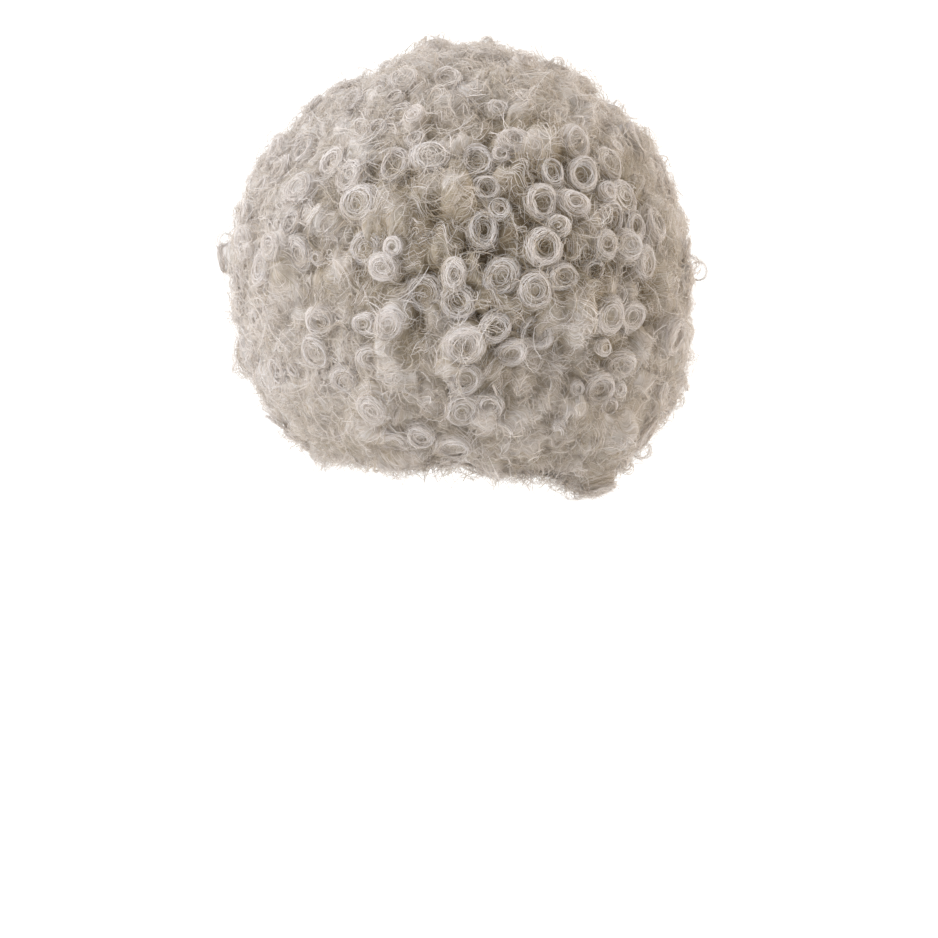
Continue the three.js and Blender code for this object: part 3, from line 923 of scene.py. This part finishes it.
# Hair fibre: glossy drawn modacrylic that light passes into, with painted shade that makes it darker
# and warmer deep in the hair than at the tips. The map's U picks the fibre and its V runs from the
# roots (0) to the tips (1).
HAIR_SHADE_BY_DEPTH_COLOURS = ((0.0, "85765D"), (0.35, "B9AD98"), (0.7, "DBD5CF"), (1.0, "F3F1F1"))
HAIR_TONE_COLOURS = ((0.35, "F3EBE4"), (0.65, "F7F6F6"))
STREAK = 1.3
FIBRE_RELIEF_MM = 0.35
hair = new_material("curled_modacrylic_fibre")
uv = add_node(hair, "ShaderNodeUVMap", uv_map="OFBake")
parts = add_node(hair, "ShaderNodeSeparateXYZ", {"Vector": uv.outputs["UV"]})
stretch = add_node(
    hair,
    "ShaderNodeVectorMath",
    {0: uv.outputs["UV"], 1: (FIBRES_ON_MAP, 6.0, 1.0)},
    operation="MULTIPLY",
)
streak = add_node(
    hair,
    "ShaderNodeTexNoise",
    {"Vector": stretch.outputs["Vector"], "Scale": 1.0, "Detail": 2.0},
)
shade = add_node(
    hair,
    "ShaderNodeMath",
    {0: streak.outputs["Fac"], 1: STREAK, 2: parts.outputs["Y"]},
    operation="MULTIPLY_ADD",
)
level = add_node(
    hair, "ShaderNodeMath", {0: shade.outputs["Value"], 1: STREAK / 2}, operation="SUBTRACT"
)
# Painted shade: the ramp darkens and warms the colour with depth into the hair.
shade_by_depth_colour = add_node(
    hair, "ShaderNodeValToRGB", {"Fac": level.outputs["Value"]}, HAIR_SHADE_BY_DEPTH_COLOURS
)
tone_noise = add_node(
    hair,
    "ShaderNodeTexNoise",
    {"Vector": stretch.outputs["Vector"], "Scale": 0.13, "Detail": 1.0},
)
tone_colour = add_node(
    hair, "ShaderNodeValToRGB", {"Fac": tone_noise.outputs["Fac"]}, HAIR_TONE_COLOURS
)
colour = add_node(
    hair,
    "ShaderNodeMix",
    {0: 0.75, 6: shade_by_depth_colour.outputs["Color"], 7: tone_colour.outputs["Color"]},
    data_type="RGBA",
    blend_type="MULTIPLY",
)
fibre_bump = add_node(
    hair,
    "ShaderNodeBump",
    {"Height": streak.outputs["Fac"], "Strength": 0.9, "Distance": FIBRE_RELIEF_MM * MM},
)
hair_shader = add_node(
    hair,
    "ShaderNodeBsdfPrincipled",
    {
        "Base Color": colour.outputs[2],
        "Roughness": 0.5,
        "Specular IOR Level": 0.35,
        "Normal": fibre_bump.outputs["Normal"],
    },
)
hair_glow = add_node(hair, "ShaderNodeBsdfTranslucent", {"Color": colour.outputs[2]})
hair_mix = add_node(
    hair,
    "ShaderNodeMixShader",
    {"Fac": 0.4, 1: hair_shader.outputs["BSDF"], 2: hair_glow.outputs["BSDF"]},
)
add_node(hair, "ShaderNodeOutputMaterial", {"Surface": hair_mix.outputs["Shader"]})

# Each weft is one mesh of its mat and its fibres. Fibres are flat strips, thinner towards their ends,
# shaded as round ones.
FIBRE_MAP_WIDTH = 0.004
FIBRE_ROLL = 1.0
FIBRE_TAPER = (0.16, 0.9)
FIBRE_UNEVEN = (0.7, 1.25)
ROOT_ROWS = 4
# Root rows sit at a dark place on the map: painted shade under the hair.
ROOT_SHADE_MAP = 0.3
STANDS_PROUD_MM = 8.5


def grid_mesh(points, normals, uvs):
    """Vertices, normals, map places and faces of a stack of grids of points."""
    count, rows, columns = points.shape[:3]
    k, i, j = np.meshgrid(
        np.arange(count), np.arange(rows - 1), np.arange(columns - 1), indexing="ij"
    )
    base = (k * rows + i) * columns + j
    quads = np.stack([base, base + 1, base + columns + 1, base + columns], axis=-1)
    return points.reshape(-1, 3), normals.reshape(-1, 3), uvs.reshape(-1, 2), quads.reshape(-1, 4)


def ribbons(paths, facing, light, tone, width):
    """Strips along paths, turned towards facing, with rounded shading across them."""
    count, points = paths.shape[:2]
    along = unit(np.gradient(paths, axis=1))
    flat = unit(np.cross(along, facing[:, None, :]))
    proud = np.cross(flat, along)
    roll = rng.uniform(-FIBRE_ROLL, FIBRE_ROLL, (count, 1, 1))
    across = np.cos(roll) * flat + np.sin(roll) * proud
    out = np.cos(roll) * proud - np.sin(roll) * flat
    taper = np.sin(np.linspace(*FIBRE_TAPER, points) * np.pi) ** 0.5
    half = width / 2 * taper[None, :, None] * rng.uniform(*FIBRE_UNEVEN, (count, 1, 1))
    verts = np.stack([paths - across * half, paths + across * half], axis=2)
    normals = np.stack([unit(out - across), unit(out + across)], axis=2)
    light = np.clip(light, MAP_MARGIN, 1 - MAP_MARGIN)
    u = np.broadcast_to(tone[:, None] * (1 - FIBRE_MAP_WIDTH), light.shape)
    uvs = np.stack([np.stack([u, light], -1), np.stack([u + FIBRE_MAP_WIDTH, light], -1)], axis=2)
    return grid_mesh(verts, normals, uvs)


def mat_of_weft(number):
    """The matted hair of one weft: its rows of the grid, closed round to its roots on the cap."""
    first = row_counts[:number].sum()
    rows = slice(first, first + row_counts[number] + 1)
    root_share = np.linspace(row_ends[number + 1], row_ends[number], ROOT_ROWS)
    roots = root_point(mat_azimuth[:, :1], root_share)
    points = np.concatenate([mat_points[:, rows], roots, mat_points[:, rows][:, :1]], axis=1)
    inward = unit(np.array([0, 0, -HEAD_MM["crown_height"] * MM]) - roots)
    normals = np.concatenate([mat_normals[:, rows], inward, mat_normals[:, rows][:, :1]], axis=1)
    shaded_root_uvs = np.full(roots.shape[:2] + (2,), ROOT_SHADE_MAP)
    uvs = np.concatenate([mat_uvs[:, rows], shaded_root_uvs, mat_uvs[:, rows][:, :1]], axis=1)
    return grid_mesh(points[None], normals[None], uvs[None])


def drawn_in(points):
    """Points with the far ends of fibres drawn in, so that none stands far outside the hair's box."""
    past = points - np.clip(points, *np.array(cad_box))
    return points - past + MM * STANDS_PROUD_MM * np.tanh(past / (MM * STANDS_PROUD_MM))


def hair_piece(name, parts_of_mesh):
    """One mesh object from arrays of vertices, normals, map places and four-sided faces."""
    verts = drawn_in(np.concatenate([p[0] for p in parts_of_mesh]))
    normals = np.concatenate([p[1] for p in parts_of_mesh])
    uvs = np.concatenate([p[2] for p in parts_of_mesh])
    offsets = np.cumsum([0] + [len(p[0]) for p in parts_of_mesh])
    quads = np.concatenate([p[3] + o for p, o in zip(parts_of_mesh, offsets)])
    a, b, c, d = (verts[quads[:, corner]] for corner in range(4))
    facing = np.cross(c - a, d - b)
    turned = np.sum(facing * normals[quads].sum(axis=1), axis=1) < 0
    quads[turned] = quads[turned][:, ::-1]
    mesh = bpy.data.meshes.new(name)
    mesh.vertices.add(len(verts))
    mesh.vertices.foreach_set("co", verts.ravel())
    mesh.loops.add(quads.size)
    mesh.loops.foreach_set("vertex_index", quads.ravel())
    mesh.polygons.add(len(quads))
    mesh.polygons.foreach_set("loop_start", np.arange(len(quads)) * 4)
    mesh.update(calc_edges=True)
    layer = mesh.uv_layers.new(name="OFBake")
    layer.data.foreach_set("uv", uvs[quads.ravel()].ravel())
    mesh.polygons.foreach_set("use_smooth", np.ones(len(quads), bool))
    mesh.normals_split_custom_set_from_vertices(normals)
    mesh.materials.append(hair)
    piece = bpy.data.objects.new(name, mesh)
    bpy.context.scene.collection.objects.link(piece)
    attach(piece, "root")
    return piece


for number in range(len(WEFT_ROWS) + 1):
    node_name = f"weft_{number}" if number else "crown_tuft"
    made = [mat_of_weft(number)]
    for strips, width in (
        (ringlet_fibres, FIBRE_WIDTH_MM),
        (lying_fibres, FIBRE_WIDTH_MM),
        (frizz, FRIZZ_WIDTH_MM),
        (flyaways, FRIZZ_WIDTH_MM),
        (halo, HALO_WIDTH_MM),
    ):
        here = strips[-1] == number
        made.append(ribbons(*(values[here] for values in strips[:-1]), width * MM))
    piece = hair_piece(f"{node_name}_hair", made)
    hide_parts(node_name)


# The stage is a pale seamless sweep of paper under soft light, with the main light high on the left
# of the back and a weaker, warmer one on its right. Sizes are in metres and powers in watts.

FLOOR_HEIGHT = -0.62
SWEEP_FRONT = 6.0
SWEEP_BACK = -1.6
SWEEP_TOP = 4.0
SWEEP_RADIUS = 0.6
SWEEP_HALF_WIDTH = 4.0
SWEEP_STEPS = 16

profile = [(SWEEP_FRONT, FLOOR_HEIGHT)]
for i in range(SWEEP_STEPS + 1):
    angle = i / SWEEP_STEPS * math.pi / 2
    profile.append(
        (
            SWEEP_BACK - SWEEP_RADIUS * math.sin(angle),
            FLOOR_HEIGHT + SWEEP_RADIUS * (1 - math.cos(angle)),
        )
    )
profile.append((SWEEP_BACK - SWEEP_RADIUS, SWEEP_TOP))
sweep_verts = [(x, y, z) for y, z in profile for x in (-SWEEP_HALF_WIDTH, SWEEP_HALF_WIDTH)]
sweep_faces = [(2 * i, 2 * i + 1, 2 * i + 3, 2 * i + 2) for i in range(len(profile) - 1)]
sweep_mesh = bpy.data.meshes.new("sweep")
sweep_mesh.from_pydata(sweep_verts, [], sweep_faces)
sweep_mesh.polygons.foreach_set("use_smooth", [True] * len(sweep_faces))

# White backdrop paper: matt and even, with no mark of its own.
paper = new_material("white_backdrop_paper")
paper_shader = add_node(
    paper, "ShaderNodeBsdfPrincipled", {"Base Color": linear("FBFBFB"), "Roughness": 0.9}
)
add_node(paper, "ShaderNodeOutputMaterial", {"Surface": paper_shader.outputs["BSDF"]})
sweep_mesh.materials.append(paper)
sweep = bpy.data.objects.new("sweep", sweep_mesh)
bpy.context.scene.collection.objects.link(sweep)

WORLD_STRENGTH = 0.71
world = bpy.data.worlds.new("soft_studio")
world.use_nodes = True
world.node_tree.nodes["Background"].inputs["Color"].default_value = (1, 1, 1, 1)
world.node_tree.nodes["Background"].inputs["Strength"].default_value = WORLD_STRENGTH
bpy.context.scene.world = world

LIGHTS_AIM = (0.0, 0.0, -0.08)


def soft_light(name, place, size, power, colour):
    """A square soft box that faces the hair."""
    lamp = bpy.data.lights.new(name, "AREA")
    lamp.size = size
    lamp.energy = power
    lamp.color = linear(colour)[:3]
    made = bpy.data.objects.new(name, lamp)
    made.location = place
    aim = np.array(LIGHTS_AIM) - np.array(place)
    made.rotation_euler = (
        math.acos(-aim[2] / np.linalg.norm(aim)),
        0.0,
        math.atan2(aim[1], aim[0]) - math.pi / 2,
    )
    bpy.context.scene.collection.objects.link(made)


soft_light("key", (1.7, 0.9, 0.7), 1.0, 45, "FAFCFF")
soft_light("side", (-1.75, -0.05, 0.6), 1.0, 27, "FFF4E4")
soft_light("top", (0.2, 0.2, 1.8), 1.2, 14, "FCFDFF")

# The camera is behind the hair, at the height of the hem, with a long lens.
PIXEL_MM = 0.705
FRAME_PIXELS = 938
CAMERA_DISTANCE = 2.2
CAMERA_ASIDE_MM = -3.9
CAMERA_HEIGHT_MM = -202.3
camera = bpy.data.cameras.new("camera")
camera.sensor_width = 36.0
camera.lens = camera.sensor_width * CAMERA_DISTANCE / (FRAME_PIXELS * PIXEL_MM * MM)
camera_object = bpy.data.objects.new("camera", camera)
camera_object.location = (CAMERA_ASIDE_MM * MM, CAMERA_DISTANCE, CAMERA_HEIGHT_MM * MM)
camera_object.rotation_euler = (math.pi / 2, 0.0, math.pi)
bpy.context.scene.collection.objects.link(camera_object)
bpy.context.scene.camera = camera_object
bpy.context.scene.view_settings.view_transform = "Standard"
